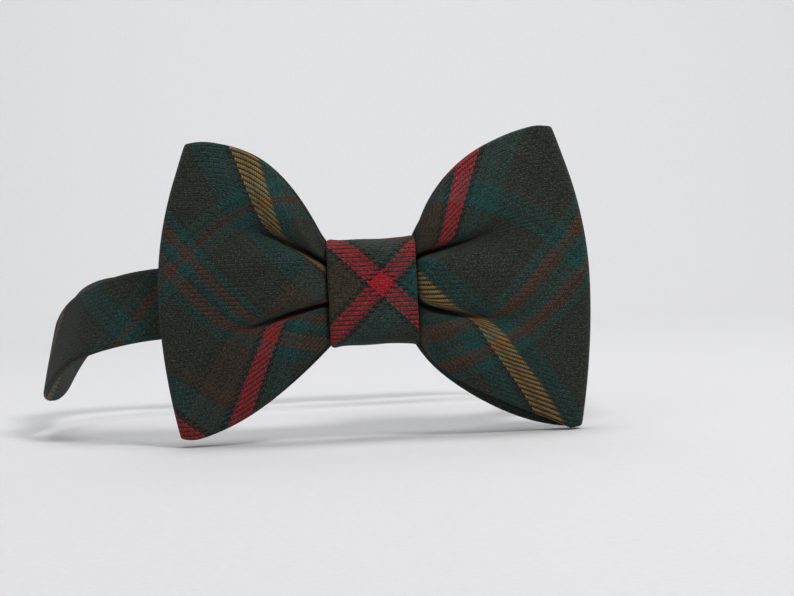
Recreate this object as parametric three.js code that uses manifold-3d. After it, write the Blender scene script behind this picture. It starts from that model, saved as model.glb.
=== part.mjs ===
// A pre-tied bow tie on an adjustable neck strap, in millimetres, +Z up.
// The wearer stands on the +Y side. The origin is the middle of the flat rear face of the knot.
import * as THREE from "three";
import Module from "manifold-3d";
import { mergeVertices } from "three/addons/utils/BufferGeometryUtils.js";

const wasm = await Module();
wasm.setup();

// Cloth: every band is a face cloth folded round an interlining, its raw edges meeting in a seam slit.
const CLOTH = 0.45;
const CORE = 0.5;
const PLY_GAP = 0.25;
const PLY = 2 * (CLOTH + PLY_GAP) + CORE;
const SEAM_SLIT = 3;
const GAP = 0.3;

// Knot: a band wound once round the middle of the bow and the strap.
const KNOT_WIDTH = 23;
const KNOT_OVER_STRAP = 4.75;
const KNOT_DEPTH = 16.8;
const KNOT_JOIN_Z = -6.5;
const KNOT_JOIN_GAP = 1;

// Bow: one loop of cloth, flattened, pleated where the knot holds it, folded at both outer edges.
const WING_REACH = 56;
const TOP_HEIGHT = 40.7;
const BOTTOM_HEIGHT = 37;
const TOP_TUCK = 8.3;
const BOTTOM_TUCK = 4;
const FOLD_RADIUS = 2.2;
const PUFF = 3.5;
const KNOT_PLEAT = 1.4;
const WING_PLEAT = 3;
const RIDGE_MIDDLE = 0.12;
const RIDGE_HALF = 0.35;
const FLAP_CREST = 0.32;
const BOW_ENDS_GAP = 1;
const WINGS = {
  left: { side: -1, topSwell: 2.7, bottomSwell: 1.7 },
  right: { side: 1, topSwell: 2.9, bottomSwell: 2.3 },
};

// Gathering thread round the pleats, and the thread that closes the knot.
const GATHER_THREAD = 0.6;
const GATHER_CLEAR = 0.45;
const CLOSING_THREAD = 0.4;

// Neck strap: a loop seen from above, level behind the bow, dipping at both sides and rising to the nape.
const STRAP_WIDTH = 19;
const LOOP_LEFT = -93;
const LOOP_RIGHT = 54;
const NAPE_Y = 96;
const LEFT_BEND = 52;
const RIGHT_BEND = 42;
const NAPE_BEND = 30;
const SIDE_DIP = -20;
const DIP_START = -8;
const DIP_END = 52;
const NAPE_Z = -4;

// Clasp: eye on the left end, hook and slider on the right end.
const METAL = 1;
const BAR_WIDTH = 1.4;
const RAIL = 1.2;
const EYE_BAR_X = -48;
const HOOK_BAR_X = -19.2;
const SLOT_CLEAR = 0.6;
const EYE_WINDOW = [5.2, 12];
const EYE_CROSSBAR = 1.6;
const EYE_END_BAR = 1.8;
const HOOK_CROSSBAR = 2.4;
const TONGUE_WIDTH = 8;
const TONGUE_LENGTH = 6;
const TONGUE_RETURN = 5;
const TONGUE_BEND = 1.6;
const EYE_RETURN_RUN = 14;
const RETURN_TAPER = 8;
const TAIL_END_X = 23;
const SLIDER_X = 2;
const SLIDER_LENGTH = 10;
const SLIDER_BAR = 2;
const SLIDER_MIDDLE_BAR = 3;
const BARTACK = [1.6, 0.5, 13];

// Depths and heights that follow from the sizes above.
const STRAP_Y = -PLY - GAP - PLY / 2;
const BACK_PLY_Y = STRAP_Y - PLY - GAP;
const FOLD_Y = BACK_PLY_Y - FOLD_RADIUS;
const KNOT_EXIT = KNOT_WIDTH / 2 + GAP;
const KNOT_HEIGHT = STRAP_WIDTH + 2 * KNOT_OVER_STRAP;
const KNOT_CORNER = KNOT_OVER_STRAP - PLY / 2;
const KNOT_INNER_HEIGHT = KNOT_HEIGHT / 2 - PLY - GAP;
const PINCH_HEIGHT = KNOT_INNER_HEIGHT - GATHER_THREAD - GATHER_CLEAR;
const GATHER_FRONT_Y = -KNOT_DEPTH + PLY + GAP + GATHER_THREAD / 2;
const GATHER_BACK_Y = STRAP_Y - PLY / 2 - GAP - GATHER_THREAD / 2;
const PINCH_FRONT_Y = GATHER_FRONT_Y + GATHER_THREAD / 2 + GAP + PLY / 2 + KNOT_PLEAT;
const PINCH_BACK_Y = GATHER_BACK_Y - GATHER_THREAD / 2 - GAP - PLY / 2;
const SLIDER_INSIDE = STRAP_WIDTH / 2 + GAP;
const SLIDER_HALF_HEIGHT = SLIDER_INSIDE + METAL;
const END_LOOP = BAR_WIDTH / 2 + 0.4 + PLY / 2;
const RETURN_STEP = PLY + GAP;
const NAPE_LEVEL_Y = NAPE_Y - 2 * END_LOOP - PLY / 2;

const mix = (a, b, t) => a + (b - a) * t;
const smooth = (low, high, x) => THREE.MathUtils.smoothstep(x, low, high);

// ---- closed bodies ----

// A body from rings of points: each ring runs along the outside of a ribbon and back along its inside.
function ribbonBody(stations, outside, inside, place) {
  const count = outside.length;
  const loop = [...outside, ...[...inside].reverse()];
  const size = loop.length;
  const positions = stations.flatMap((station) => loop.flatMap((p) => place(station, p).toArray()));
  const index = [];
  const quad = (a, b, c, d) => index.push(a, b, c, a, c, d);
  for (let i = 0; i + 1 < stations.length; i++)
    for (let j = 0; j < size; j++) {
      const next = (j + 1) % size;
      const corners = [i * size + j, i * size + next, (i + 1) * size + next, (i + 1) * size + j];
      // Every layer of a twisted stretch is cut along the same diagonal, so the layers stay apart.
      if (loop[next].v < loop[j].v) corners.push(corners.shift());
      quad(...corners);
    }
  const last = (stations.length - 1) * size;
  for (let j = 0; j + 1 < count; j++) {
    quad(j, size - 1 - j, size - 2 - j, j + 1);
    quad(last + j, last + j + 1, last + size - 2 - j, last + size - 1 - j);
  }
  return facingOut(positions, index);
}

// A tube of round section along a closed loop of points in the YZ plane.
function ringBody(points, radius, sides) {
  const positions = points.flatMap((p, i) => {
    const before = points[(i + points.length - 1) % points.length];
    const after = points[(i + 1) % points.length];
    const along = after.clone().sub(before).normalize();
    const across = new THREE.Vector3(0, -along.z, along.y);
    return Array.from({ length: sides }, (_, j) => {
      const angle = (2 * Math.PI * j) / sides;
      const out = across.clone().multiplyScalar(radius * Math.cos(angle));
      return p.clone().add(out).add(new THREE.Vector3(radius * Math.sin(angle), 0, 0)).toArray();
    }).flat();
  });
  const index = [];
  for (let i = 0; i < points.length; i++)
    for (let j = 0; j < sides; j++) {
      const i2 = (i + 1) % points.length;
      const j2 = (j + 1) % sides;
      const corner = (a, b) => a * sides + b;
      index.push(corner(i, j), corner(i, j2), corner(i2, j2));
      index.push(corner(i, j), corner(i2, j2), corner(i2, j));
    }
  return facingOut(positions, index);
}

function facingOut(positions, index) {
  let volume = 0;
  const corner = (i) => new THREE.Vector3().fromArray(positions, 3 * index[i]);
  for (let i = 0; i < index.length; i += 3)
    volume += corner(i).dot(corner(i + 1).cross(corner(i + 2)));
  const geometry = new THREE.BufferGeometry();
  geometry.setAttribute("position", new THREE.Float32BufferAttribute(positions, 3));
  geometry.setIndex(volume < 0 ? [...index].reverse() : index);
  return geometry;
}

function toSolid(geometry) {
  const bare = geometry.clone();
  bare.deleteAttribute("normal");
  bare.deleteAttribute("uv");
  const merged = mergeVertices(bare, 1e-4);
  const mesh = { numProp: 3, vertProperties: merged.attributes.position.array };
  return new wasm.Manifold(new wasm.Mesh({ ...mesh, triVerts: new Uint32Array(merged.index.array) }));
}

function toGeometry(solid) {
  const mesh = solid.getMesh();
  const geometry = new THREE.BufferGeometry();
  geometry.setAttribute("position", new THREE.BufferAttribute(mesh.vertProperties, 3));
  geometry.setIndex(new THREE.BufferAttribute(mesh.triVerts, 1));
  return geometry;
}

function boxBetween(low, high) {
  const size = high.map((value, i) => value - low[i]);
  const middle = high.map((value, i) => (value + low[i]) / 2);
  return new THREE.BoxGeometry(...size).translate(...middle);
}

// ---- the folded band's two ribbons ----

// Across the band, v runs from -1 at the lower edge to 1 at the upper; inset is measured in from the edge.
// A pleated band has the same shares in every layer, the slit's two sides among them.
function sharesAcross(steps, slitShare) {
  const upper = Array.from({ length: steps }, (_, i) => (i + 1) / steps);
  const middle = steps > 1 ? [-slitShare, slitShare] : [];
  return [...upper.map((v) => -v).reverse(), ...middle, ...upper];
}

function foldedSides(steps, slitShare) {
  const face = sharesAcross(steps, slitShare);
  const upperFlap = [...face].reverse().filter((v) => v > slitShare);
  upperFlap.push(slitShare);
  const lowerFlap = upperFlap.map((v) => -v).reverse();
  const side = (inset, faceDepth, flapDepth) => [
    ...lowerFlap.map((v) => ({ v, inset, depth: flapDepth })),
    ...face.map((v) => ({ v, inset, depth: faceDepth })),
    ...upperFlap.map((v) => ({ v, inset, depth: flapDepth })),
  ];
  return [side(0, PLY / 2, -PLY / 2), side(CLOTH, PLY / 2 - CLOTH, -PLY / 2 + CLOTH)];
}

function coreSides(steps, slitShare) {
  const inset = CLOTH + PLY_GAP;
  const face = sharesAcross(steps, slitShare);
  return [CORE / 2, -CORE / 2].map((depth) => face.map((v) => ({ v, inset, depth })));
}

// ---- bow ----

const BOW_STEPS = 5;
const BOW_SLIT = SEAM_SLIT / 2 / TOP_HEIGHT;
const KNOT_STATIONS = [0, 6, KNOT_WIDTH / 2 - 1.5];
const BACK_KNOT_STATIONS = [BOW_ENDS_GAP / 2, 6, KNOT_WIDTH / 2 - 1.5];
const FRONT_STATIONS = [0, 0.045, 0.12, 0.24, 0.4, 0.6, 0.82, 1];
const BACK_STATIONS = [0, 0.12, 0.3, 0.6, 1];
const FOLD_STATIONS = [0.25, 0.5, 0.75];

function wingStations(wing) {
  const front = FRONT_STATIONS.map((out) => ({ wing, turn: 0, out }));
  const fold = FOLD_STATIONS.map((turn) => ({ wing, turn, out: 1 }));
  const back = BACK_STATIONS.map((out) => ({ wing, turn: 1, out })).reverse();
  const frontKnot = KNOT_STATIONS.map((x) => ({ wing, turn: 0, out: 0, x }));
  const backKnot = BACK_KNOT_STATIONS.map((x) => ({ wing, turn: 1, out: 0, x })).reverse();
  return [...frontKnot, ...front, ...fold, ...back, ...backKnot];
}

function bowStations() {
  const right = wingStations(WINGS.right);
  const left = wingStations(WINGS.left);
  return [...left.reverse(), ...right.slice(1)];
}

// Half height of the band above or below the middle line, out = 0 at the knot's side and 1 at the fold.
function halfHeight(wing, v, out, x) {
  if (x !== undefined) return mix(PINCH_HEIGHT, KNOT_INNER_HEIGHT, x / KNOT_EXIT);
  const [height, swell] = v > 0 ? [TOP_HEIGHT, wing.topSwell] : [BOTTOM_HEIGHT, wing.bottomSwell];
  return mix(KNOT_INNER_HEIGHT, height, 1 - (1 - out) ** swell);
}

// One ridge between two valleys, and a crest on each flap beyond them.
function pleatWave(v) {
  const away = Math.abs(v - RIDGE_MIDDLE);
  const phase = away < RIDGE_HALF ? away / RIDGE_HALF : 1 + (away - RIDGE_HALF) / FLAP_CREST;
  return Math.cos(Math.PI * phase);
}

function frontY(v, out) {
  const level = mix(PINCH_FRONT_Y, FOLD_Y - FOLD_RADIUS, smooth(0, 1, out));
  const puff = PUFF * Math.sin(Math.PI * out ** 0.75) * (1 - 0.45 * v * v);
  const pleat = mix(KNOT_PLEAT, WING_PLEAT, smooth(0, 0.1, out)) * (1 - smooth(0.1, 0.7, out));
  return level - puff - pleat * pleatWave(v);
}

function bowPoint({ wing, turn, out, x }, { v: share, inset, depth }) {
  const height = halfHeight(wing, share, out, x);
  const v = Math.abs(share) < 1 ? share : share * (1 - inset / height);
  const tuck = v > 0 ? TOP_TUCK : BOTTOM_TUCK;
  const foldX = WING_REACH - tuck * v * v - FOLD_RADIUS - PLY / 2;
  const flat = x ?? mix(KNOT_EXIT, foldX, out);
  const angle = Math.PI * turn;
  const pinchedBack = mix(PINCH_BACK_Y, BACK_PLY_Y, smooth(0, 6, x ?? 6));
  const foldedY = FOLD_Y - FOLD_RADIUS * Math.cos(angle);
  const middleY = turn === 0 ? frontY(v, out) : turn === 1 ? pinchedBack : foldedY;
  const bend = FOLD_RADIUS * Math.sin(angle);
  return new THREE.Vector3(
    wing.side * (flat + bend + depth * Math.sin(angle)),
    middleY - depth * Math.cos(angle),
    v * height,
  );
}

function bowShell() {
  return ribbonBody(bowStations(), ...foldedSides(BOW_STEPS, BOW_SLIT), bowPoint);
}

function bowInterlining() {
  return ribbonBody(bowStations(), ...coreSides(BOW_STEPS, BOW_SLIT), bowPoint);
}

// ---- rounded loop in the YZ plane ----

function roundedLoop(lowY, highY, halfZ, radius, steps) {
  const corners = [
    [highY - radius, -halfZ + radius, 0],
    [lowY + radius, -halfZ + radius, -1],
    [lowY + radius, halfZ - radius, -2],
    [highY - radius, halfZ - radius, -3],
  ];
  return corners.flatMap(([y, z, quarter]) =>
    Array.from({ length: steps + 1 }, (_, i) => {
      const angle = (Math.PI / 2) * (quarter - i / steps);
      return new THREE.Vector3(0, y + radius * Math.cos(angle), z + radius * Math.sin(angle));
    }),
  );
}

// ---- knot ----

function knotStations() {
  const middle = PLY / 2;
  const points = roundedLoop(-KNOT_DEPTH + middle, -middle, KNOT_HEIGHT / 2 - middle, KNOT_CORNER, 3);
  const start = new THREE.Vector3(0, -middle, KNOT_JOIN_Z - KNOT_JOIN_GAP / 2);
  const end = new THREE.Vector3(0, -middle, KNOT_JOIN_Z + KNOT_JOIN_GAP / 2);
  const all = [start, ...points, end];
  return all.map((point, i) => {
    const before = all[Math.max(i - 1, 0)];
    const after = all[Math.min(i + 1, all.length - 1)];
    const along = after.clone().sub(before).normalize();
    const isEnd = i < 2 || i > all.length - 3;
    const out = isEnd ? new THREE.Vector3(0, 1, 0) : new THREE.Vector3(0, -along.z, along.y);
    return { point, out };
  });
}

function knotPoint({ point, out }, { v, inset, depth }) {
  const across = new THREE.Vector3(v * (KNOT_WIDTH / 2 - inset), 0, 0);
  return point.clone().addScaledVector(out, depth).add(across);
}

function knotWrap() {
  return ribbonBody(knotStations(), ...foldedSides(1, SEAM_SLIT / KNOT_WIDTH), knotPoint);
}

function knotInterlining() {
  return ribbonBody(knotStations(), ...coreSides(1), knotPoint);
}

function gatherThread() {
  const halfZ = PINCH_HEIGHT + GAP + GATHER_THREAD / 2;
  const points = roundedLoop(GATHER_FRONT_Y, GATHER_BACK_Y, halfZ, 1, 2);
  return ringBody(points, GATHER_THREAD / 2, 6);
}

function closingThread() {
  const thread = new THREE.CylinderGeometry(CLOSING_THREAD / 2, CLOSING_THREAD / 2, KNOT_WIDTH - 2, 8);
  return thread.rotateZ(Math.PI / 2).translate(0, -CLOTH - PLY_GAP, KNOT_JOIN_Z);
}

// ---- neck strap ----

const lineOf = (fromX, fromY, toX, toY, steps = 1) =>
  new THREE.LineCurve(new THREE.Vector2(fromX, fromY), new THREE.Vector2(toX, toY)).getPoints(steps);

const arcOf = (x, y, radius, fromQuarter, toQuarter, steps) => {
  const [from, to] = [fromQuarter, toQuarter].map((quarter) => (quarter * Math.PI) / 2);
  return new THREE.EllipseCurve(x, y, radius, radius, from, to, to < from).getPoints(steps);
};

const LEFT_HINGE_Y = STRAP_Y + LEFT_BEND;
const RIGHT_HINGE_Y = STRAP_Y + RIGHT_BEND;
const NAPE_CORNER_Y = NAPE_Y - NAPE_BEND;
const END_LOOP_Y = NAPE_Y - END_LOOP;
const RETURN_Y = NAPE_Y - RETURN_STEP;

const leftPlan = () => [
  ...lineOf(EYE_BAR_X - EYE_RETURN_RUN, RETURN_Y, EYE_BAR_X - RETURN_TAPER, RETURN_Y),
  ...arcOf(EYE_BAR_X, END_LOOP_Y, END_LOOP, -1, 1, 8),
  ...arcOf(LOOP_LEFT + NAPE_BEND, NAPE_CORNER_Y, NAPE_BEND, 1, 2, 7),
  ...lineOf(LOOP_LEFT, NAPE_CORNER_Y, LOOP_LEFT, LEFT_HINGE_Y + GAP / 2, 2),
];

const frontPlan = () => [
  ...lineOf(LOOP_LEFT, LEFT_HINGE_Y - GAP / 2, LOOP_LEFT, LEFT_HINGE_Y - 2 * GAP),
  ...arcOf(LOOP_LEFT + LEFT_BEND, LEFT_HINGE_Y, LEFT_BEND, 2, 3, 9).slice(1),
  ...arcOf(LOOP_RIGHT - RIGHT_BEND, RIGHT_HINGE_Y, RIGHT_BEND, -1, 0, 8).slice(0, -1),
  ...lineOf(LOOP_RIGHT, RIGHT_HINGE_Y - 2 * GAP, LOOP_RIGHT, RIGHT_HINGE_Y - GAP / 2),
];

const rightPlan = () => [
  ...lineOf(LOOP_RIGHT, RIGHT_HINGE_Y + GAP / 2, LOOP_RIGHT, NAPE_CORNER_Y, 3),
  ...arcOf(LOOP_RIGHT - NAPE_BEND, NAPE_CORNER_Y, NAPE_BEND, 0, 1, 7),
  ...arcOf(HOOK_BAR_X, END_LOOP_Y, END_LOOP, 1, 3, 8),
  ...lineOf(HOOK_BAR_X + RETURN_TAPER, RETURN_Y, TAIL_END_X, RETURN_Y),
];

const droop = (y) =>
  SIDE_DIP * smooth(DIP_START, DIP_END, y) + (NAPE_Z - SIDE_DIP) * smooth(DIP_END, NAPE_LEVEL_Y, y);

// The outward side of the strap is on the right hand of someone walking along the plan.
function strapStations(plan) {
  const points = plan.filter((p, i) => i === 0 || p.distanceTo(plan[i - 1]) > GAP / 3);
  return points.map((point, i) => {
    const before = points[Math.max(i - 1, 0)];
    const after = points[Math.min(i + 1, points.length - 1)];
    const run = after.clone().sub(before);
    const slope = Math.atan2(droop(after.y) - droop(before.y), run.length());
    run.normalize();
    const middle = new THREE.Vector3(point.x, point.y, droop(point.y));
    return { middle, out: new THREE.Vector3(run.y, -run.x, 0), slope };
  });
}

// Cut straight up, so a sloping stretch is taller by the slope and the strip keeps its width.
function strapPoint({ middle, out, slope }, { v, inset, depth }) {
  const height = (v * (STRAP_WIDTH / 2 - inset)) / Math.cos(slope);
  return middle.clone().addScaledVector(out, depth).add(new THREE.Vector3(0, 0, height));
}

const strapCloth = (plan) =>
  ribbonBody(strapStations(plan), ...foldedSides(1, SEAM_SLIT / STRAP_WIDTH), strapPoint);

const strapCore = (plan) => ribbonBody(strapStations(plan), ...coreSides(1), strapPoint);

function eyeBartack() {
  const [width, thickness, height] = BARTACK;
  const skin = RETURN_Y - PLY / 2;
  const x = EYE_BAR_X - (EYE_RETURN_RUN + RETURN_TAPER) / 2;
  const low = [x - width / 2, skin - thickness - 0.1, NAPE_Z - height / 2];
  return boxBetween(low, [x + width / 2, skin - 0.1, NAPE_Z + height / 2]);
}

// ---- clasp ----

// A flat fitting drawn from the strap bar outwards, x = 0 on the bar's own line.
function plateOf(length, windows) {
  const half = STRAP_WIDTH / 2 + GAP + RAIL;
  const corner = 1;
  const low = -BAR_WIDTH / 2;
  const shape = new THREE.Shape();
  shape.moveTo(low, -half);
  shape.lineTo(length - corner, -half);
  shape.absarc(length - corner, -half + corner, corner, -Math.PI / 2, 0);
  shape.absarc(length - corner, half - corner, corner, 0, Math.PI / 2);
  shape.lineTo(low, half);
  shape.closePath();
  for (const [from, to, halfWindow] of windows) {
    const hole = new THREE.Path();
    hole.moveTo(from, -halfWindow);
    hole.lineTo(from, halfWindow);
    hole.lineTo(to, halfWindow);
    hole.lineTo(to, -halfWindow);
    hole.closePath();
    shape.holes.push(hole);
  }
  const plate = new THREE.ExtrudeGeometry(shape, { depth: METAL, bevelEnabled: false, curveSegments: 3 });
  return plate.translate(0, 0, -METAL / 2).rotateX(Math.PI / 2);
}

const SLOT_START = BAR_WIDTH / 2;
const SLOT_END = END_LOOP + PLY / 2 + SLOT_CLEAR;
const STRAP_WINDOW = [SLOT_START, SLOT_END, STRAP_WIDTH / 2 + GAP];

function strapEye() {
  const windowStart = SLOT_END + EYE_CROSSBAR;
  const windowEnd = windowStart + EYE_WINDOW[0];
  const windows = [STRAP_WINDOW, [windowStart, windowEnd, EYE_WINDOW[1] / 2]];
  return plateOf(windowEnd + EYE_END_BAR, windows).translate(EYE_BAR_X, END_LOOP_Y, NAPE_Z);
}

// The tongue leaves the plate, turns over and comes back towards it.
function hookTongue(start) {
  const tip = start + TONGUE_LENGTH;
  const [outer, inner] = [TONGUE_BEND + METAL / 2, TONGUE_BEND - METAL / 2];
  const shape = new THREE.Shape();
  shape.moveTo(start - 1, -METAL / 2);
  shape.lineTo(tip, -METAL / 2);
  shape.absarc(tip, TONGUE_BEND, outer, -Math.PI / 2, Math.PI / 2);
  shape.lineTo(tip - TONGUE_RETURN, TONGUE_BEND + outer);
  shape.lineTo(tip - TONGUE_RETURN, TONGUE_BEND + inner);
  shape.absarc(tip, TONGUE_BEND, inner, Math.PI / 2, -Math.PI / 2, true);
  shape.lineTo(start - 1, METAL / 2);
  shape.closePath();
  const options = { depth: TONGUE_WIDTH, bevelEnabled: false, curveSegments: 6 };
  return new THREE.ExtrudeGeometry(shape, options).translate(0, 0, -TONGUE_WIDTH / 2);
}

function strapHook() {
  const plateEnd = SLOT_END + HOOK_CROSSBAR;
  const plate = toSolid(plateOf(plateEnd, [STRAP_WINDOW]));
  const hook = toGeometry(plate.add(toSolid(hookTongue(plateEnd))));
  return hook.rotateZ(Math.PI).translate(HOOK_BAR_X, END_LOOP_Y, NAPE_Z);
}

// A ring round both runs of the strap: one broad bar outside them, two narrow bars inside.
function strapSlider() {
  const outerY = NAPE_Y + PLY / 2 + GAP;
  const innerY = RETURN_Y - PLY / 2 - GAP;
  const [half, inside] = [SLIDER_LENGTH / 2, SLIDER_INSIDE];
  const block = toSolid(
    boxBetween([-half, innerY - METAL, -SLIDER_HALF_HEIGHT], [half, outerY + METAL, SLIDER_HALF_HEIGHT]),
  );
  const bore = toSolid(boxBetween([-half - 1, innerY, -inside], [half + 1, outerY, inside]));
  const middle = SLIDER_MIDDLE_BAR / 2;
  const cuts = [-1, 1].map((side) => {
    const [from, to] = side < 0 ? [-half - 1, -middle] : [middle, half + 1];
    return toSolid(boxBetween([from, outerY - 0.5, -inside], [to, outerY + METAL + 1, inside]));
  });
  const window = half - SLIDER_BAR;
  const back = toSolid(boxBetween([-window, innerY - METAL - 1, -inside], [window, innerY + 0.5, inside]));
  const ring = [bore, ...cuts, back].reduce((solid, cut) => solid.subtract(cut), block);
  return toGeometry(ring).translate(SLIDER_X, 0, NAPE_Z);
}

// ---- assembly ----

const tartan = { color: 0x2a332c, roughness: 0.9, metalness: 0 };
const knotCloth = { color: 0x6b2430, roughness: 0.9, metalness: 0 };
const interlining = { color: 0xcfc8b8, roughness: 0.95, metalness: 0 };
const thread = { color: 0x1f2a26, roughness: 0.8, metalness: 0 };
const nickel = { color: 0xb9b7b0, roughness: 0.3, metalness: 1 };

const tie = new THREE.Group();
tie.name = "bow_tie";

function addPart(name, geometry, finish) {
  const mesh = new THREE.Mesh(geometry, new THREE.MeshStandardMaterial(finish));
  mesh.name = name;
  tie.add(mesh);
}

addPart("bow_shell", bowShell(), tartan);
addPart("bow_interlining", bowInterlining(), interlining);
addPart("gather_thread", gatherThread(), thread);
addPart("knot_wrap", knotWrap(), knotCloth);
addPart("knot_interlining", knotInterlining(), interlining);
addPart("knot_closing_thread", closingThread(), thread);
for (const [name, plan] of Object.entries({ front: frontPlan, left: leftPlan, right: rightPlan })) {
  addPart(`strap_${name}`, strapCloth(plan()), tartan);
  addPart(`strap_${name}_interlining`, strapCore(plan()), interlining);
}
addPart("eye_bartack", eyeBartack(), thread);
addPart("strap_eye", strapEye(), nickel);
addPart("strap_hook", strapHook(), nickel);
addPart("strap_slider", strapSlider(), nickel);

export default tie;
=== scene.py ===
"""The looks of a pre-tied tartan bow tie on its adjustable neck strap, in metres, +Z up, wearer on +Y."""

import math

import bpy
import numpy as np
from mathutils import Matrix, Vector


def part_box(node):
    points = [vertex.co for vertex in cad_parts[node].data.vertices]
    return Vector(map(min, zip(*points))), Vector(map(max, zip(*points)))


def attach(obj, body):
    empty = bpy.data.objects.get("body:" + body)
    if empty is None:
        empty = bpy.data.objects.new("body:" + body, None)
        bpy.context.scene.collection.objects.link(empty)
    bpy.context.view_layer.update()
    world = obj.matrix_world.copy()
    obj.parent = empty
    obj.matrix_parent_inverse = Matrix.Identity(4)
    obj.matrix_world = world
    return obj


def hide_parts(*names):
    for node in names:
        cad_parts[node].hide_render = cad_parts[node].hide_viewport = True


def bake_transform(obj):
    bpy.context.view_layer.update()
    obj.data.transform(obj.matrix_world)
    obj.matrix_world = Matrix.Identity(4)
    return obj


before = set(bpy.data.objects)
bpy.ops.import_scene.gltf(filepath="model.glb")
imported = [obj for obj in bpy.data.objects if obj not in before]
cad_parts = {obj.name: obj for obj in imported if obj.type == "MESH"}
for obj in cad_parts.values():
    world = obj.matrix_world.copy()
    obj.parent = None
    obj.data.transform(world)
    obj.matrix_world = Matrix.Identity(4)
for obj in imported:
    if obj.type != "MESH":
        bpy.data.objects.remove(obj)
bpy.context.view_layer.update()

MM = 0.001


def box_mm(node):
    """A node's lowest and highest corners."""
    low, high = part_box(node)
    return np.array(low) / MM, np.array(high) / MM


# Every band is one cloth folded round an interlining, its raw edges sewn together along the inner side.
PLY = 1.9
ROLL = PLY / 2
ROLL_STEPS = 6
SEAM_HALF = 0.6
SEAM_DEPTH = 0.5

# The UV layer "cloth_mm" of a band holds the cloth's own mm divided by this.
UV_SCALE = 100

bow_low, bow_high = box_mm("bow_shell")
knot_low, knot_high = box_mm("knot_wrap")
left_low, _ = box_mm("strap_left")
_, right_high = box_mm("strap_right")

# Bow: a loop of band, folded at both outer edges and pleated where the knot holds it.
# For each wing, reach is its outermost x, and tucks are what the fold draws in at the top and bottom.
# drop lowers the bottom edge. Each rise is the power and the swell of an edge's curve out of the knot.
# creases are the heights of the two creases at the fold. lip lifts the front's lower edge so that the back
# shows below it, and pattern_shift moves the tartan.
TOP = bow_high[2]
BOTTOM = -bow_low[2]
KNOT_EXIT = knot_high[0]
KNOT_OPENING = knot_high[2] - PLY - 0.3
PINCH_HEIGHT = KNOT_OPENING - 1.05
CREST_IN_KNOT = -13.7
CREST_AT_EXIT = knot_low[1] + PLY + 0.4
BACK_Y = -4.4
FOLD_RADIUS = 3.15
FRONT_AT_FOLD = BACK_Y - 2 * FOLD_RADIUS
PUFF = 5.0
VALLEY = 7.2
RIPPLE = 0.7
CORNER_RISE = 0.9
RIPPLE_PITCH = 13
FRONT_STATIONS = 76
BACK_STATIONS = 36
FOLD_STATIONS = 15
BOW_COLUMNS = 93
TOP_CREASE_AT_KNOT = 22
BOTTOM_CREASE_DROP = 3.8
CREASE_REACH = 12.5, 13
EDGE_TURN = 1.5
SLACK = 0.28
HALF_LOOP = 61
WINGS = {
    "left": {
        "side": -1, "reach": bow_high[0] + 0.9, "tucks": (9.4, 4.2), "drop": 0.0,
        "top_rise": (1.0, 2.7), "bottom_rise": (1.0, 1.65),
        "creases": (20.0, -11.2), "lip": 0.0, "pattern_shift": (0.0, 0.0),
    },
    "right": {
        "side": 1, "reach": bow_high[0] + 1.4, "tucks": (8.6, 3.9), "drop": 1.6,
        "top_rise": (0.7, 1.85), "bottom_rise": (0.62, 1.4),
        "creases": (16.2, -11.2), "lip": 2.8, "pattern_shift": (-7.75, -7.75),
    },
}

# Neck strap, seen from above: straight runs and arcs along the middle of its thickness.
STRAP_WIDTH = 19
STRAP_Y = -3.15
LEFT_X = left_low[0] + ROLL
RIGHT_X = right_high[0] - ROLL
LEFT_BEND = 52
RIGHT_BEND = 42
NAPE_BEND = 30
NAPE_Y = 96
END_LOOP = 2.05
RETURN_STEP = 2.2
EYE_BAR_X = -48
HOOK_BAR_X = -19.2
TAIL_END_X = 23
SIDE_DIP = -20
NAPE_Z = -4
DIP_START = -8
DIP_END = 52
NAPE_LEVEL_Y = NAPE_Y - 2 * END_LOOP - ROLL
LEAN = math.radians(14)
STATION = 1.3
STRAP_COLUMNS = 19


def mix(a, b, t):
    return a + (b - a) * t


def smooth(low, high, x):
    t = np.clip((x - low) / (high - low), 0, 1)
    return t * t * (3 - 2 * t)


def unit(v):
    return v / np.maximum(np.linalg.norm(v, axis=-1, keepdims=True), 1e-9)


def points_of(x, y, z):
    return np.stack(np.broadcast_arrays(x, y, z), axis=-1)


# ---- one closed band of cloth from the grid of its outer face ----


def outward(grid):
    """The direction out of the cloth at each point."""
    along = np.gradient(grid, axis=0)
    across = np.gradient(grid, axis=1)
    return unit(np.cross(along, across))


def rolled_edge(edge, normal, away):
    """The columns that turn a band's outer face over to its inner face, as a half round."""
    centre = edge - normal * ROLL
    away = unit(away - (away * normal).sum(-1, keepdims=True) * normal)
    turns = [math.pi * k / ROLL_STEPS for k in range(1, ROLL_STEPS)]
    return [centre + ROLL * (normal * math.cos(t) + away * math.sin(t)) for t in turns]


def band_points(grid, normal, inner):
    """Round each station: up the outer face, over the top, down the inner face, under the lower edge."""
    upper = rolled_edge(grid[:, -1], normal[:, -1], grid[:, -1] - grid[:, -2])
    lower = rolled_edge(grid[:, 0], normal[:, 0], grid[:, 0] - grid[:, 1])[::-1]
    section = [*grid.transpose(1, 0, 2), *upper, *inner.transpose(1, 0, 2)[::-1], *lower]
    return np.stack(section, axis=1)


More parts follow.
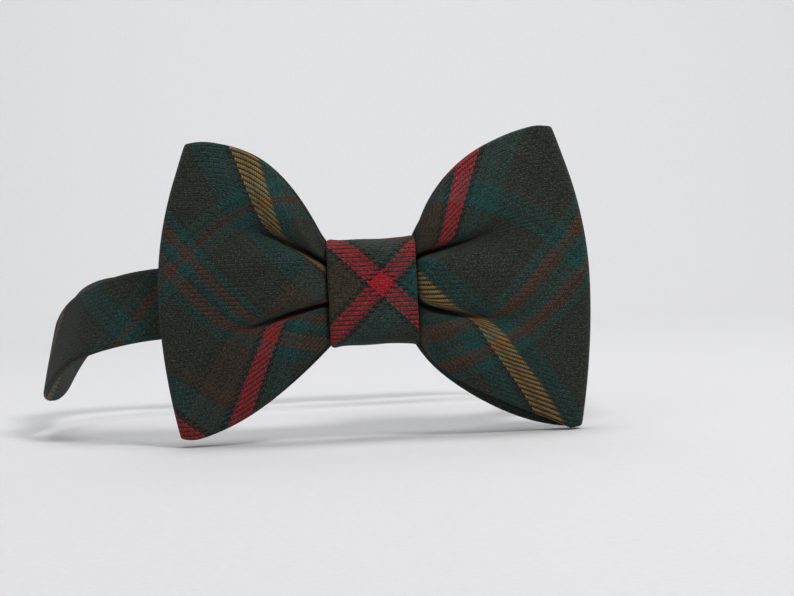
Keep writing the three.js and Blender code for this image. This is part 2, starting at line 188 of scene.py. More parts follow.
def band_cloth(fabric_u, fabric_v):
    """The cloth's own mm at the same points, and the length of cloth once round each station."""
    roll = [ROLL * math.pi * k / ROLL_STEPS for k in range(1, ROLL_STEPS)]
    top, bottom = fabric_v[:, -1], fabric_v[:, 0]
    turned = top + ROLL * math.pi
    round_length = 2 * (top - bottom) + 2 * ROLL * math.pi
    across = [*fabric_v.T, *[top + r for r in roll]]
    across += [turned + top - v for v in fabric_v.T[::-1]]
    across += [bottom + round_length - r for r in roll[::-1]]
    along = [*fabric_u.T, *[fabric_u[:, -1]] * len(roll)]
    along += [*fabric_u.T[::-1], *[fabric_u[:, 0]] * len(roll)]
    return np.stack(along, axis=1), np.stack(across, axis=1), round_length


def side_faces(along, across, round_length, seam_column):
    """The faces round a band and their places on the cloth, which starts and ends at the seam column."""
    stations, size = across.shape
    faces, uvs = [], []
    for i in range(stations - 1):
        for j in range(size):
            k = (j + 1) % size
            back = round_length[i] if j >= seam_column else 0
            wrapped = across[i, k] + (round_length[i] if k == 0 else 0)
            wrapped_next = across[i + 1, k] + (round_length[i + 1] if k == 0 else 0)
            faces.append((i * size + j, (i + 1) * size + j, (i + 1) * size + k, i * size + k))
            uvs += [
                (along[i, j], across[i, j] - back),
                (along[i + 1, j], across[i + 1, j] - back),
                (along[i + 1, k], wrapped_next - back),
                (along[i, k], wrapped - back),
            ]
    return faces, uvs


def closed_band(name, grid, fabric_u, fabric_v, material, swap=False):
    """A folded band from the grid of its outer face: grid[station, column], the columns running up.

    fabric_u and fabric_v are the cloth's own mm. swap turns the cloth by a quarter.
    """
    normal = outward(grid)
    stations, columns = grid.shape[:2]
    seam = np.clip(1 - np.abs(fabric_v - fabric_v.mean(1, keepdims=True)) / SEAM_HALF, 0, 1)
    inner = grid - normal * PLY + normal * (SEAM_DEPTH * seam)[..., None]
    points = band_points(grid, normal, inner)
    along, across, round_length = band_cloth(fabric_u, fabric_v)

    size, rolls = points.shape[1], ROLL_STEPS - 1
    faces, uvs = side_faces(along, across, round_length, columns + rolls + columns // 2)
    for i in (0, stations - 1):
        closing = end_faces(columns, rolls, size)
        if i > 0:
            closing = [face[::-1] for face in closing]
        faces += [tuple(i * size + k for k in face) for face in closing]
        uvs += [(along[i, k], across[i, k]) for face in closing for k in face]
    if swap:
        uvs = [(-v, u) for u, v in uvs]
    made = mesh_object(name, points.reshape(-1, 3), faces, material)
    layer = made.data.uv_layers.new(name="cloth_mm")
    layer.data.foreach_set("uv", (np.array(uvs, np.float32) / UV_SCALE).ravel())
    return made, inner, normal


def end_faces(columns, rolls, size):
    """The faces that close a band's end: a strip between its two sides, and a cap in each rolled edge."""
    last = 2 * columns + rolls - 1
    strip = [(j, j + 1, last - j - 1, last - j) for j in range(columns - 1)]
    upper = tuple(range(columns - 1, columns + rolls + 1))
    lower = (*range(size - rolls - 1, size), 0)
    return [*strip, upper, lower]


def mesh_object(name, points, faces, material):
    data = bpy.data.meshes.new(name)
    data.from_pydata((np.asarray(points) * MM).tolist(), [], [tuple(map(int, f)) for f in faces])
    data.update()
    data.polygons.foreach_set("use_smooth", [True] * len(data.polygons))
    data.materials.append(material)
    made = bpy.data.objects.new(name, data)
    bpy.context.scene.collection.objects.link(made)
    return made


# ---- node materials ----


class Nodes:
    """A few short ways to write a node tree."""

    def __init__(self, name):
        self.material = bpy.data.materials.new(name)
        self.material.use_nodes = True
        self.tree = self.material.node_tree
        self.shader = self.tree.nodes["Principled BSDF"]

    def add(self, kind, **settings):
        made = self.tree.nodes.new(kind)
        for key, value in settings.items():
            setattr(made, key, value)
        return made

    def put(self, value, socket):
        if isinstance(value, bpy.types.NodeSocket):
            self.tree.links.new(value, socket)
        else:
            socket.default_value = value

    def math(self, operation, *values):
        made = self.add("ShaderNodeMath", operation=operation)
        for value, socket in zip(values, made.inputs):
            self.put(value, socket)
        return made.outputs[0]

    def mix(self, share, a, b):
        made = self.add("ShaderNodeMix", data_type="RGBA")
        self.put(share, made.inputs[0])
        self.put(a, made.inputs[6])
        self.put(b, made.inputs[7])
        return made.outputs[2]

    def tint(self, colour, strength):
        """colour made lighter or darker by the number strength."""
        made = self.add("ShaderNodeVectorMath", operation="SCALE")
        self.put(colour if isinstance(colour, bpy.types.NodeSocket) else colour[:3], made.inputs[0])
        self.put(strength, made.inputs[3])
        return made.outputs[0]

    def noise(self, vector, scale, detail=2.0):
        made = self.add("ShaderNodeTexNoise")
        self.put(vector, made.inputs["Vector"])
        self.put(scale, made.inputs["Scale"])
        self.put(detail, made.inputs["Detail"])
        return made.outputs["Fac"]

    def spread(self, value, low, high):
        made = self.add("ShaderNodeMapRange")
        for socket, number in zip(made.inputs, (value, 0.0, 1.0, low, high)):
            self.put(number, socket)
        return made.outputs[0]

    def bump(self, height, strength, distance, below=None):
        made = self.add("ShaderNodeBump")
        self.put(strength, made.inputs["Strength"])
        self.put(distance, made.inputs["Distance"])
        self.put(height, made.inputs["Height"])
        if below is not None:
            self.put(below, made.inputs["Normal"])
        return made.outputs[0]


def srgb(*values):
    shares = [value / 255 for value in values]
    linear = [c / 12.92 if c <= 0.04045 else ((c + 0.055) / 1.055) ** 2.4 for c in shares]
    return (*linear, 1.0)


RED = srgb(154, 6, 30)
GOLD = srgb(118, 88, 42)
TEAL = srgb(6, 54, 52)
OLIVE_WARP = srgb(38, 37, 29)
OLIVE_WEFT = srgb(24, 36, 31)
BROWN = srgb(54, 37, 27)
RUST = srgb(70, 38, 26)
DARK = srgb(9, 15, 17)
LOOSE_FIBRE = srgb(150, 148, 138)
POLYESTER = srgb(38, 52, 46)
NICKEL_DULL = srgb(178, 174, 164)
NICKEL_BRIGHT = srgb(222, 219, 210)
PIT = srgb(120, 108, 90)
PAPER = srgb(206, 206, 208), srgb(216, 216, 217)

# The stripes of one repeat, in mm measured level across the cloth: where each begins, and its colour.
REPEAT = 210.0
WARP_SETT = [
    (0, RED), (4.1, DARK), (6, TEAL), (17, BROWN), (22, OLIVE_WARP), (38, TEAL), (42, RUST), (47, TEAL),
    (51.5, RUST), (55.5, TEAL), (59, OLIVE_WARP), (74, TEAL), (84, DARK), (85.8, GOLD), (94.9, TEAL),
    (103, OLIVE_WARP), (136, TEAL), (146, OLIVE_WARP), (203.9, DARK), (205.9, RED),
]
WEFT_SETT = [
    (0, RED), (4.1, DARK), (6.4, TEAL), (18, OLIVE_WEFT), (42, TEAL), (46, RUST), (51.5, TEAL),
    (57.5, RUST), (63, TEAL), (67, OLIVE_WEFT), (103, DARK), (106, GOLD), (112, DARK), (115, OLIVE_WEFT),
    (145, TEAL), (150.5, RUST), (154, TEAL), (159, OLIVE_WEFT), (190, BROWN), (203.9, DARK), (205.9, RED),
]

# The pitch of the threads in mm, and the threads in one repeat of the weave.
THREAD = 0.43
TWILL = 4

# Where a repeat starts on each piece, in mm along u + v and u - v.
WING_FALLING = -93.3
WING_RISING = -6.5
KNOT_FALLING = 4.0
KNOT_RISING = -0.4
KNOT_TIGHT = 1.15
STRAP_OFFSET = 8.0


def sett_colour(n, sett, thread, offset, tight):
    """The colour of a thread from its number, counted across the cloth."""
    place = n.math("MULTIPLY_ADD", thread, THREAD * math.sqrt(2) * tight, offset * tight)
    share = n.math("DIVIDE", n.math("FLOORED_MODULO", place, REPEAT), REPEAT)
    ramp = n.add("ShaderNodeValToRGB")
    ramp.color_ramp.interpolation = "CONSTANT"
    ramp.color_ramp.elements.remove(ramp.color_ramp.elements[1])
    for start, colour in sett:
        stop = ramp.color_ramp.elements[0] if start == 0 else ramp.color_ramp.elements.new(start / REPEAT)
        stop.color = colour
    n.put(share, ramp.inputs[0])
    return ramp.outputs[0]


def uneven(n, thread, seed):
    """Each thread a little lighter or darker than the next."""
    noise = n.add("ShaderNodeTexWhiteNoise", noise_dimensions="1D")
    n.put(n.math("ADD", thread, seed), noise.inputs["W"])
    return n.spread(noise.outputs["Value"], 0.6, 1.4)


def half_round(n, share):
    """The height across a round thread, from its place across it."""
    return n.math("SINE", n.math("MULTIPLY", share, math.pi))


def thread_places(n, cloth):
    """How many threads across the warp and across the weft, each with its fraction."""
    split = n.add("ShaderNodeSeparateXYZ")
    n.put(cloth, split.inputs[0])
    u = n.math("MULTIPLY", split.outputs[0], float(UV_SCALE))
    v = n.math("MULTIPLY", split.outputs[1], float(UV_SCALE))
    per_mm = 1 / (THREAD * math.sqrt(2))
    warp = n.math("MULTIPLY", n.math("ADD", u, v), per_mm)
    weft = n.math("MULTIPLY", n.math("SUBTRACT", u, v), per_mm)
    return warp, weft


def twill_height(n, warp, weft, warp_on_top):
    """The round of the thread on top, and of the diagonal rib that it belongs to."""
    warp_round = half_round(n, n.math("FRACT", warp))
    weft_round = half_round(n, n.math("FRACT", weft))
    rib = n.math("FRACT", n.math("MULTIPLY", n.math("SUBTRACT", warp, weft), 2 / TWILL))
    across = n.add("ShaderNodeMix", data_type="FLOAT")
    n.put(warp_on_top, across.inputs[0])
    n.put(weft_round, across.inputs[2])
    n.put(warp_round, across.inputs[3])
    return n.math("MULTIPLY_ADD", across.outputs[0], 0.45, n.math("MULTIPLY", half_round(n, rib), 0.55))


def wool_surface(n, cloth, dyed, height):
    """Fuzz, slubs and loose fibres over the dyed threads, painted light and shade that follow the weave's
    height, and the relief of the weave.
    """
    fuzz = n.noise(cloth, 420.0, 3.0)
    slub = n.noise(cloth, 36.0, 3.0)
    fibre = n.math("POWER", n.noise(cloth, 240.0, 1.0), 5.0)
    # Painted light and shade: the colour darkens where the weave's height is low, between threads and
    # along the hollows of the twill ribs, and lightens on the crests; slubs and fuzz add random tone on
    # top.
    painted_shade_and_tone = n.math("MULTIPLY", n.spread(height, 0.45, 1.22), n.spread(slub, 0.82, 1.18))
    painted_shade_and_tone = n.math("MULTIPLY", painted_shade_and_tone, n.spread(fuzz, 0.75, 1.25))
    colour = n.tint(dyed, painted_shade_and_tone)
    colour = n.mix(n.math("MULTIPLY", fibre, 0.9), colour, LOOSE_FIBRE)
    n.put(colour, n.shader.inputs["Base Color"])
    n.put(n.spread(fuzz, 0.78, 0.95), n.shader.inputs["Roughness"])
    n.shader.inputs["Specular IOR Level"].default_value = 0.14
    n.shader.inputs["Sheen Weight"].default_value = 0.05
    n.shader.inputs["Sheen Roughness"].default_value = 0.45
    soft = n.bump(slub, 0.12, 0.0006)
    relief = n.math("MULTIPLY_ADD", fuzz, 0.25, height)
    n.put(n.bump(relief, 0.75, 0.00022, soft), n.shader.inputs["Normal"])


def tartan(name, falling_at, rising_at, tight=1.0):
    """A 2/2 twill on the bias. falling_at and rising_at place the repeat along u + v and u - v.

    tight is above 1 where the stripes are drawn in narrower.
    """
    n = Nodes(name)
    cloth = n.add("ShaderNodeUVMap", uv_map="cloth_mm").outputs[0]
    warp, weft = thread_places(n, cloth)
    warp_thread, weft_thread = n.math("FLOOR", warp), n.math("FLOOR", weft)
    step = n.math("FLOORED_MODULO", n.math("SUBTRACT", warp_thread, weft_thread), float(TWILL))
    warp_on_top = n.math("LESS_THAN", step, TWILL / 2)
    warp_dye = sett_colour(n, WARP_SETT, warp_thread, -falling_at, tight)
    weft_dye = sett_colour(n, WEFT_SETT, weft_thread, -rising_at, tight)
    warp_colour = n.tint(warp_dye, uneven(n, warp_thread, 0.37))
    weft_colour = n.tint(weft_dye, uneven(n, weft_thread, 71.21))
    height = twill_height(n, warp, weft, warp_on_top)
    wool_surface(n, cloth, n.mix(warp_on_top, weft_colour, warp_colour), height)
    return n.material


def sewing_thread(name, colour):
    """Two plies of polyester twisted together, with painted light and shade along the twist."""
    n = Nodes(name)
    place = n.add("ShaderNodeTexCoord").outputs["Object"]
    twist = n.add("ShaderNodeTexWave", bands_direction="DIAGONAL")
    n.put(place, twist.inputs["Vector"])
    n.put(1700.0, twist.inputs["Scale"])
    fuzz = n.noise(place, 2600.0)
    # Painted light and shade: the colour darkens in the grooves between the plies and lightens on their
    # crests, following the same wave as the bump.
    n.put(n.tint(colour, n.spread(twist.outputs["Fac"], 0.6, 1.35)), n.shader.inputs["Base Color"])
    n.put(n.spread(fuzz, 0.45, 0.75), n.shader.inputs["Roughness"])
    n.shader.inputs["Sheen Weight"].default_value = 0.15
    n.put(n.bump(twist.outputs["Fac"], 0.6, 0.00008), n.shader.inputs["Normal"])
    return n.material


def nickel_plate(name):
    """Stamped steel with a bright plate, brushed lengthways and dulled by handling."""
    n = Nodes(name)
    place = n.add("ShaderNodeTexCoord").outputs["Object"]
    stretch = n.add("ShaderNodeMapping")
    n.put(place, stretch.inputs["Vector"])
    n.put(Vector((60.0, 900.0, 1600.0)), stretch.inputs["Scale"])
    brushed = n.noise(stretch.outputs[0], 1.0, 4.0)
    dulled = n.noise(place, 240.0, 4.0)
    pits = n.math("POWER", n.noise(place, 1500.0, 1.0), 5.0)
    colour = n.mix(dulled, NICKEL_DULL, NICKEL_BRIGHT)
    n.put(n.mix(pits, colour, PIT), n.shader.inputs["Base Color"])
    n.shader.inputs["Metallic"].default_value = 1.0
    rough = n.math("ADD", n.spread(brushed, 0.12, 0.3), n.spread(dulled, 0.0, 0.16))
    n.put(rough, n.shader.inputs["Roughness"])
    n.put(n.bump(n.math("SUBTRACT", brushed, pits), 0.25, 0.00005), n.shader.inputs["Normal"])
    return n.material


bow_tartan = tartan("bow_tartan", WING_FALLING, WING_RISING)
knot_tartan = tartan("knot_tartan", KNOT_FALLING, KNOT_RISING, KNOT_TIGHT)
strap_tartan = tartan("strap_tartan", STRAP_OFFSET, STRAP_OFFSET)
dark_thread = sewing_thread("dark_thread", POLYESTER)
nickel = nickel_plate("nickel_plate")


# ---- bow ----


def half_height(full, out, rise):
    """A wing's height above or below its middle, from the knot's opening (out 0) to the fold (out 1)."""
    power, swell = rise
    return mix(KNOT_OPENING, full, 1 - (1 - out**power) ** swell)


def passed(t):
    """The share of a crease's hidden cloth that lies before t, from -1 to 1 across the crease."""
    t = np.clip(t, -1, 1)
    return 0.5 + (7 / 12) * (t - t**7 / 7)


def valley(t):
    """A crease's depth across it, from 1 at its line to 0 at 1 and -1."""
    return (np.clip(1 - np.sqrt(t * t + 0.01), 0, None) / 0.9) ** 1.6


def crease_lines(wing, out):
    """The heights on the cloth of the two creases, which draw apart towards the knot."""
    top, bottom = wing["creases"]
    top_line = top + (TOP_CREASE_AT_KNOT - top) * (1 - out) ** 6
    return top_line, bottom - BOTTOM_CREASE_DROP * (1 - out) ** 4


def wing_heights(wing, out, v, full_top, full_bottom):
    """Each point's height: the creases hide what the wing loses towards the knot."""
    top_line, bottom_line = crease_lines(wing, out)
    hidden_top = full_top - half_height(full_top, out, wing["top_rise"])
    hidden_bottom = full_bottom - half_height(full_bottom, out, wing["bottom_rise"])
    top_width, bottom_width = (np.maximum(0.585 * h + 1.4, 7) for h in (hidden_top, hidden_bottom))
    z = v - hidden_top * passed((v - top_line) / top_width)
    return z + hidden_bottom * passed((bottom_line - v) / bottom_width)


def fold_x(wing, v):
    """Where the front meets the fold: further in at the corners than in the middle."""
    top_tuck, bottom_tuck = wing["tucks"]
    tuck = np.where(v > 0, top_tuck * (v / TOP) ** 2, bottom_tuck * (v / BOTTOM) ** 2)
    return wing["reach"] - FOLD_RADIUS - tuck


def lowered(wing, v, out=1.0):
    """How far the wing's bottom edge hangs below the band's straight edge."""
    return wing["drop"] * (v / BOTTOM) ** 2 * (v < 0) * smooth(0.1, 0.8, out)


def corner(v, out=1.0):
    """The pull that lifts a wing's top corner."""
    return CORNER_RISE * smooth(0.8 * TOP, TOP, v) * smooth(0.6, 1, out)


def pleats(wing, out, v):
    """How deep the two creases press into the front."""
    top_line, bottom_line = crease_lines(wing, out)
    reach = mix(*CREASE_REACH, out)
    depth = VALLEY * (1 - smooth(0.05, 0.8, out)) * mix(0.75, 1, smooth(0, 0.12, out))
    return depth * (valley((v - top_line) / reach) + valley((v - bottom_line) / (reach * 0.83)))


def front_face(wing, out, inside, v):
    """inside is 1 from the knot's edge outwards and falls to 0 in its middle."""
    x = mix(KNOT_EXIT * inside, fold_x(wing, v), out)
    z = wing_heights(wing, out, v, TOP, BOTTOM)
    z = z * mix(PINCH_HEIGHT / KNOT_OPENING, 1, inside) + corner(v, out)
    z = z + wing["lip"] * smooth(-16, -BOTTOM, v) * np.sin(math.pi * out**1.4)
    z = z - lowered(wing, v, out)
    crest = mix(mix(CREST_IN_KNOT, CREST_AT_EXIT, inside), FRONT_AT_FOLD, smooth(0, 1, out))
    share = np.where(v > 0, v / TOP, v / BOTTOM)
    puff = PUFF * np.sin(math.pi * out**0.6) * (1 - 0.5 * share**2)
    near_fold = 1 - smooth(0.8, 1, out)
    turned = EDGE_TURN * smooth(0.8, 1, np.abs(share)) * smooth(0, 0.1, out) * near_fold
    slack = SLACK * np.sin(0.31 * v + 5 * out + wing["side"]) * smooth(0.1, 0.4, out) * near_fold
    return points_of(x, crest - puff + pleats(wing, out, v) + turned + slack, z)


def fold_face(wing, angle, v):
    x = fold_x(wing, v) + FOLD_RADIUS * np.sin(angle)
    y = BACK_Y - FOLD_RADIUS - FOLD_RADIUS * np.cos(angle)
    lifted = v + corner(v)
    return points_of(x, y, lifted - lowered(wing, lifted))


def back_face(wing, out, inside, v):
    x = mix(KNOT_EXIT * inside, fold_x(wing, v), out)
    top = half_height(TOP, out, wing["top_rise"])
    bottom = half_height(BOTTOM, out, wing["bottom_rise"])
    z = np.where(v > 0, v * top / TOP, v * bottom / BOTTOM) * mix(PINCH_HEIGHT / KNOT_OPENING, 1, inside)
    z = z - lowered(wing, v, out) + corner(v, out)
    gathers = RIPPLE * (0.5 - 0.5 * np.cos(2 * math.pi * v / RIPPLE_PITCH)) * (1 - smooth(0.05, 0.75, out))
    return points_of(x, BACK_Y - gathers, z)


def wing_grid(wing, v):
    """Stations from the middle of the back, out round the fold, and in along the front to the middle."""
    out = np.linspace(0, 1, FRONT_STATIONS)[:, None] ** 1.45
    inside = np.linspace(0.05, 1, 6)[:-1, None]
    back = back_face(wing, np.linspace(0, 1, BACK_STATIONS)[:, None] ** 1.3, 1, v[None])
    back_inside = back_face(wing, 0, inside, v[None])
    turns = np.linspace(math.pi, 0, FOLD_STATIONS)[1:-1, None]
    fold = fold_face(wing, turns, v[None])
    front = front_face(wing, out[::-1], 1, v[None])
    front_inside = front_face(wing, 0.0, np.linspace(1, 0, 7)[1:, None], v[None])
    grid = np.concatenate([back_inside, back, fold, front, front_inside])
    walked = np.linalg.norm(np.diff(grid, axis=0), axis=-1).cumsum(0)
    walked = np.concatenate([np.zeros((1, len(v))), walked])
    from_fold = walked - walked[len(inside) + len(back) + len(fold) // 2]
    shift_u, shift_v = wing["pattern_shift"]
    fabric_u = wing["side"] * (HALF_LOOP - from_fold) + shift_u
    fabric_v = np.broadcast_to(v + shift_v, fabric_u.shape)
    return grid * (wing["side"], 1, 1), fabric_u, fabric_v


def build_bow():
    v = np.linspace(-BOTTOM + ROLL, TOP - ROLL, BOW_COLUMNS)
    left = wing_grid(WINGS["left"], v)
    right = [part[::-1][1:] for part in wing_grid(WINGS["right"], v)]
    grid, fabric_u, fabric_v = (np.concatenate(pair) for pair in zip(left, right))
    bow, _, _ = closed_band("bow", grid, fabric_u, fabric_v, bow_tartan)
    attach(bow, "bow")
    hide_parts("bow_shell", "bow_interlining")
    return bow


# ---- knot ----

KNOT_HALF_WIDTH = knot_high[0]
KNOT_HALF_HEIGHT = knot_high[2]
KNOT_CORNER = 4.75
KNOT_JOIN_Z = -6.5
KNOT_JOIN_GAP = 0.5
KNOT_CROWN = 0.7
KNOT_DIP = 0.4
KNOT_EDGE = 0.35
KNOT_STATION = 0.7
KNOT_COLUMNS = 43


def knot_line():
    """The knot's outer face in the YZ plane, from the join behind it down, round the front and back."""
    radius = KNOT_CORNER
    corners = [
        (knot_high[1] - radius, -KNOT_HALF_HEIGHT + radius, 0),
        (knot_low[1] + radius, -KNOT_HALF_HEIGHT + radius, -1),
        (knot_low[1] + radius, KNOT_HALF_HEIGHT - radius, -2),
        (knot_high[1] - radius, KNOT_HALF_HEIGHT - radius, -3),
    ]
    points = [(knot_high[1], KNOT_JOIN_Z - KNOT_JOIN_GAP / 2)]
    for y, z, quarter in corners:
        turns = [math.pi / 2 * (quarter - i / 9) for i in range(10)]
        points += [(y + radius * math.cos(t), z + radius * math.sin(t)) for t in turns]
    points.append((knot_high[1], KNOT_JOIN_Z + KNOT_JOIN_GAP / 2))
    return respaced(np.array(points), KNOT_STATION)


def respaced(points, step):
    """Points at even steps along a line of points."""
    run = np.concatenate([[0], np.linalg.norm(np.diff(points, axis=0), axis=1).cumsum()])
    keep = np.concatenate([[True], np.diff(run) > 1e-6])
    places = np.linspace(0, run[-1], max(int(run[-1] / step), 8))
    return np.stack([np.interp(places, run[keep], axis[keep]) for axis in points.T], axis=1)


def build_knot():
    line = knot_line()
    x = np.linspace(KNOT_HALF_WIDTH - ROLL, -KNOT_HALF_WIDTH + ROLL, KNOT_COLUMNS)
    y, z = (np.broadcast_to(axis[:, None], (len(line), len(x))) for axis in line.T)
    grid = np.stack([np.broadcast_to(x, y.shape), y, z], axis=-1)
    normal = outward(grid)
    across = np.abs(x / KNOT_HALF_WIDTH)[None]
    upright = np.abs(normal[..., 2]) ** 2
    dip = -KNOT_DIP * (1 - across**4) * upright
    in_front = np.clip(-normal[..., 1], 0, 1)
    crown = KNOT_CROWN * (1 - (z / KNOT_HALF_HEIGHT) ** 2) * (1 - 0.6 * across**2) * in_front
    rolled = KNOT_EDGE * smooth(0.72, 0.95, across) * (0.3 + 0.7 * in_front)
    creased = 0.13 * np.sin(0.62 * z + 0.35 * x[None]) * in_front + 0.08 * np.sin(1.3 * z - 0.5 * x[None])
    grid = grid + normal * (dip + crown + rolled + creased * (1 - across**6))[..., None]
    walked = np.linalg.norm(np.diff(grid, axis=0), axis=-1).cumsum(0)
    walked = np.concatenate([np.zeros((1, len(x))), walked])
    middle = int(np.argmin(np.abs(line[:, 1]) + 100 * (line[:, 0] > knot_low[1] + 1)))
    fabric_v = np.broadcast_to(-x, walked.shape)
    knot, _, _ = closed_band("knot", grid, walked - walked[middle], fabric_v, knot_tartan, swap=True)
    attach(knot, "bow")
    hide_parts("knot_wrap", "knot_interlining")


# ---- stitches ----

STITCH_SIDES = 7
STITCH_RINGS = 7
KNOT_STITCHES = 8
SEAM_STITCH_PITCH = 4
BARTACK_STITCHES = 27


def stitch_rings(start, end, out, lift, radius):
    """Rings of points along one stitch, which bows out by lift and is thinner at its ends."""
    along = unit(end - start)
    side = np.cross(along, out)
    points = []
    for i in range(STITCH_RINGS):
        t = i / (STITCH_RINGS - 1)
        centre = mix(start, end, t) + out * lift * math.sin(math.pi * t)
        size = radius * (0.55 + 0.45 * math.sin(math.pi * t) ** 0.5)
        for k in range(STITCH_SIDES):
            angle = 2 * math.pi * k / STITCH_SIDES
            points.append(centre + size * (out * math.cos(angle) + side * math.sin(angle)))
    return points


def stitches(name, ends, lift, radius):
    """One short closed tube for each stitch, from point to point."""
    points, faces = [], []
    for start, end, out in ends:
        first = len(points)
        points += stitch_rings(start, end, out, lift, radius)
        for i in range(STITCH_RINGS - 1):
            for k in range(STITCH_SIDES):
                a = first + i * STITCH_SIDES + k
                b = first + i * STITCH_SIDES + (k + 1) % STITCH_SIDES
                faces.append((a, b, b + STITCH_SIDES, a + STITCH_SIDES))
        last = first + (STITCH_RINGS - 1) * STITCH_SIDES
        faces.append(tuple(first + k for k in reversed(range(STITCH_SIDES))))
        faces.append(tuple(last + k for k in range(STITCH_SIDES)))
    return mesh_object(name, points, faces, dark_thread)


def build_knot_stitches():
    """Ladder stitches that close the knot behind."""
    ends = []
    for i in range(KNOT_STITCHES):
        x = mix(-KNOT_HALF_WIDTH + 1.8, KNOT_HALF_WIDTH - 1.8, i / (KNOT_STITCHES - 1))
        lean = 0.35 * (-1) ** i
        start = np.array([x - lean, knot_high[1] - 0.12, KNOT_JOIN_Z - 1.0])
        ends.append((start, start + (2 * lean, 0, 2.0), np.array([0, 1.0, 0])))
    made = stitches("knot_stitches", ends, 0.1, 0.2)
    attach(made, "bow")
    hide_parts("knot_closing_thread")


# ---- neck strap ----


def arc(x, y, radius, start, end):
    """Points on an arc round x, y. start and end count quarter turns from +X."""
    angles = np.linspace(start, end, 60) * math.pi / 2
    return np.stack([x + radius * np.cos(angles), y + radius * np.sin(angles)], axis=1)


def left_plan():
    loop_y = NAPE_Y - END_LOOP
    return np.concatenate([
        [(EYE_BAR_X - 14, NAPE_Y - RETURN_STEP), (EYE_BAR_X - 8, NAPE_Y - RETURN_STEP)],
        arc(EYE_BAR_X, loop_y, END_LOOP, -1, 1),
        arc(LEFT_X + NAPE_BEND, NAPE_Y - NAPE_BEND, NAPE_BEND, 1, 2),
        arc(LEFT_X + LEFT_BEND, STRAP_Y + LEFT_BEND, LEFT_BEND, 2, 3),
        [(-0.2, STRAP_Y)],
    ])


def right_plan():
    loop_y = NAPE_Y - END_LOOP
    return np.concatenate([
        [(0.2, STRAP_Y)],
        arc(RIGHT_X - RIGHT_BEND, STRAP_Y + RIGHT_BEND, RIGHT_BEND, -1, 0),
        arc(RIGHT_X - NAPE_BEND, NAPE_Y - NAPE_BEND, NAPE_BEND, 0, 1),
        arc(HOOK_BAR_X, loop_y, END_LOOP, 1, 3),
        [(HOOK_BAR_X + 8, NAPE_Y - RETURN_STEP), (TAIL_END_X, NAPE_Y - RETURN_STEP)],
    ])


def droop(y):
    """The height of the strap's middle: down at the sides of the neck, and partly up again at the nape."""
    side = SIDE_DIP * smooth(DIP_START, DIP_END, y)
    return side + (NAPE_Z - SIDE_DIP) * smooth(DIP_END, NAPE_LEVEL_Y, y)


def strap_grid(plan):
    """The strap's outer face, and the cloth's own mm along and across it."""
    line = respaced(plan, STATION)
    run = unit(np.gradient(line, axis=0))
    out = np.stack([run[:, 1], -run[:, 0], 0 * run[:, 0]], axis=1)
    z = droop(line[:, 1])
    walked = np.concatenate([[0], np.linalg.norm(np.diff(line, axis=0), axis=1).cumsum()])
    slope = np.arctan(np.gradient(z, walked))
    lean = LEAN * smooth(0, 14, line[:, 1]) * (1 - smooth(40, 80, line[:, 1])) * (line[:, 0] < 0)
    v = np.linspace(-STRAP_WIDTH / 2 + ROLL, STRAP_WIDTH / 2 - ROLL, STRAP_COLUMNS)
    middle = np.column_stack([line, z]) + out * ROLL
    tilt = out[:, None] * ((v[-1] - v)[None] * np.sin(lean)[:, None])[..., None]
    rise = (v[None] * np.cos(lean)[:, None] / np.cos(slope)[:, None])[..., None] * (0, 0, 1.0)
    slack = 0.12 * np.sin(walked / 5.5)[:, None] * (1 - (v / 9) ** 2)[None]
    grid = middle[:, None] + tilt + rise + out[:, None] * slack[..., None]
    return grid, np.broadcast_to(walked[:, None], grid.shape[:2]), np.broadcast_to(v, grid.shape[:2])


def seam_stitches(name, inner, normal):
    """Small ladder stitches across the seam on a strap's inner side."""
    middle = inner.shape[1] // 2
    ends = []
    every = int(SEAM_STITCH_PITCH / STATION)
    for i in range(3, len(inner) - 3, every):
        out = -normal[i, middle]
        lift = out * 0.08
        ends.append((inner[i, middle - 1] + lift, inner[i, middle + 1] + lift, out))
    return stitches(name, ends, 0.12, 0.14)


def build_strap(name, plan, nodes):
    grid, along, across = strap_grid(plan)
    strap, inner, normal = closed_band(name, grid, along, across, strap_tartan)
    sewn = seam_stitches(f"{name}_stitches", inner, normal)
    for piece in (strap, sewn):
        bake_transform(piece)
    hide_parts(*nodes)


def build_bartack():
    """Close zigzag stitches that hold the strap's turned-back end behind the eye."""
    low, high = box_mm("eye_bartack")
    out = np.array([0, -1.0, 0])
    ends = []
    for i in range(BARTACK_STITCHES):
        z = mix(low[2] + 0.3, high[2] - 0.3, i / (BARTACK_STITCHES - 1))
        lean = 0.2 * (-1) ** i
        start = np.array([low[0] - 0.3, high[1] - 0.05, z - lean])
        ends.append((start, np.array([high[0] + 0.3, high[1] - 0.05, z + lean]), out))
    made = stitches("eye_bartack_stitches", ends, 0.12, 0.24)
    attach(made, "band_left")
    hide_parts("eye_bartack")


# ---- metal and thread that stay as the part's own nodes ----


def finish_fittings():
    for node in ("strap_eye", "strap_hook", "strap_slider"):
        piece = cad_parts[node]
        piece.data.materials.clear()
        piece.data.materials.append(nickel)
        bevel = piece.modifiers.new("worn_edges", "BEVEL")
        bevel.width = 0.18 * MM
        bevel.segments = 2
        bevel.angle_limit = math.radians(40)
    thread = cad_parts["gather_thread"]
    thread.data.materials.clear()
    thread.data.materials.append(dark_thread)


# ---- stage ----

VIEW_DISTANCE = 0.5
VIEW_LIFT = math.radians(2)
VIEW_ROLL = math.radians(2.8)
AIM = Vector((0.0062, 0, -0.0018))
FLOOR_Z = -0.039
FLOOR_FRONT = -1.6
SWEEP_START = 0.5
SWEEP_RADIUS = 0.5
SWEEP_TOP = 2.4
FLOOR_HALF_WIDTH = 2.5


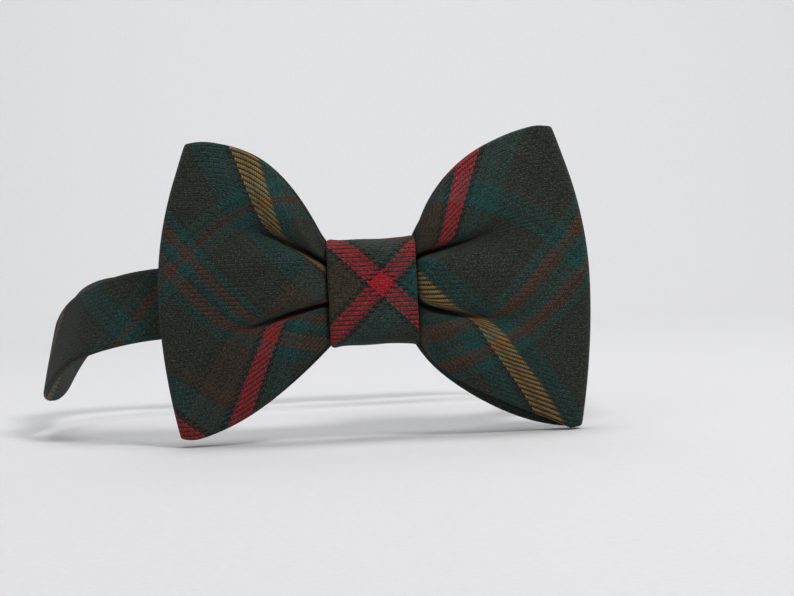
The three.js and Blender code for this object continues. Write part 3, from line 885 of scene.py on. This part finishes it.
def build_floor():
    """A pale sweep: level in front, rising behind in one curve."""
    profile = [(FLOOR_FRONT, 0.0), (SWEEP_START, 0.0)]
    for turn in np.linspace(0.1, math.pi / 2, 16):
        rise = SWEEP_RADIUS - SWEEP_RADIUS * math.cos(turn)
        profile.append((SWEEP_START + SWEEP_RADIUS * math.sin(turn), rise))
    profile.append((SWEEP_START + SWEEP_RADIUS, SWEEP_TOP))
    sides = (-FLOOR_HALF_WIDTH, FLOOR_HALF_WIDTH)
    points = [(x / MM, y / MM, FLOOR_Z / MM + z / MM) for y, z in profile for x in sides]
    faces = [(2 * i, 2 * i + 1, 2 * i + 3, 2 * i + 2) for i in range(len(profile) - 1)]
    n = Nodes("floor_paper")
    place = n.add("ShaderNodeTexCoord").outputs["Object"]
    grain = n.noise(place, 700.0, 3.0)
    n.put(n.mix(grain, *PAPER), n.shader.inputs["Base Color"])
    n.put(n.spread(grain, 0.85, 0.95), n.shader.inputs["Roughness"])
    floor = mesh_object("floor", points, faces, n.material)


def area_light(name, place, target, size, watts, colour):
    data = bpy.data.lights.new(name, "AREA")
    data.shape = "DISK"
    data.size = size
    data.energy = watts
    data.color = colour
    lamp = bpy.data.objects.new(name, data)
    lamp.location = place
    lamp.rotation_euler = (Vector(target) - Vector(place)).to_track_quat("-Z", "Y").to_euler()
    bpy.context.scene.collection.objects.link(lamp)


def build_lights():
    target = (0, 0.02, 0)
    area_light("key", (0.45, -0.6, 0.85), target, 0.28, 6.9, (1.0, 0.985, 0.96))
    area_light("fill", (-0.9, -0.9, 0.5), target, 1.2, 1.35, (0.93, 0.96, 1.0))
    area_light("rim", (-0.2, 1.0, 1.1), target, 0.8, 1.0, (1.0, 1.0, 1.0))
    area_light("backdrop", (0, 0.1, 1.3), (0, 1.0, 0.4), 0.9, 13.5, (1.0, 1.0, 1.0))
    world = bpy.data.worlds.new("studio")
    world.use_nodes = True
    world.node_tree.nodes["Background"].inputs[0].default_value = (0.9, 0.93, 1.0, 1.0)
    world.node_tree.nodes["Background"].inputs[1].default_value = 0.22
    bpy.context.scene.world = world


def build_camera():
    data = bpy.data.cameras.new("camera")
    data.lens = 87.3
    data.sensor_width = 36
    camera = bpy.data.objects.new("camera", data)
    bow_plane = Vector((0, knot_low[1] * MM, 0))
    back = Vector((0, -math.cos(VIEW_LIFT), math.sin(VIEW_LIFT)))
    up = Vector((math.sin(VIEW_ROLL), 0, math.cos(VIEW_ROLL)))
    right = up.cross(back).normalized()
    camera.matrix_world = Matrix.Translation(AIM + bow_plane + back * VIEW_DISTANCE) @ Matrix(
        (right, back.cross(right), back)
    ).transposed().to_4x4()
    bpy.context.scene.collection.objects.link(camera)
    bpy.context.scene.camera = camera


build_camera()
build_lights()
build_floor()
bow = build_bow()
build_knot()
build_knot_stitches()
build_strap(
    "strap_eye_side", left_plan(),
    ["strap_left", "strap_left_interlining", "strap_front", "strap_front_interlining"],
)
build_strap(
    "strap_hook_side", right_plan(),
    ["strap_right", "strap_right_interlining"],
)
build_bartack()
finish_fittings()
bpy.context.scene.view_settings.view_transform = "Standard"
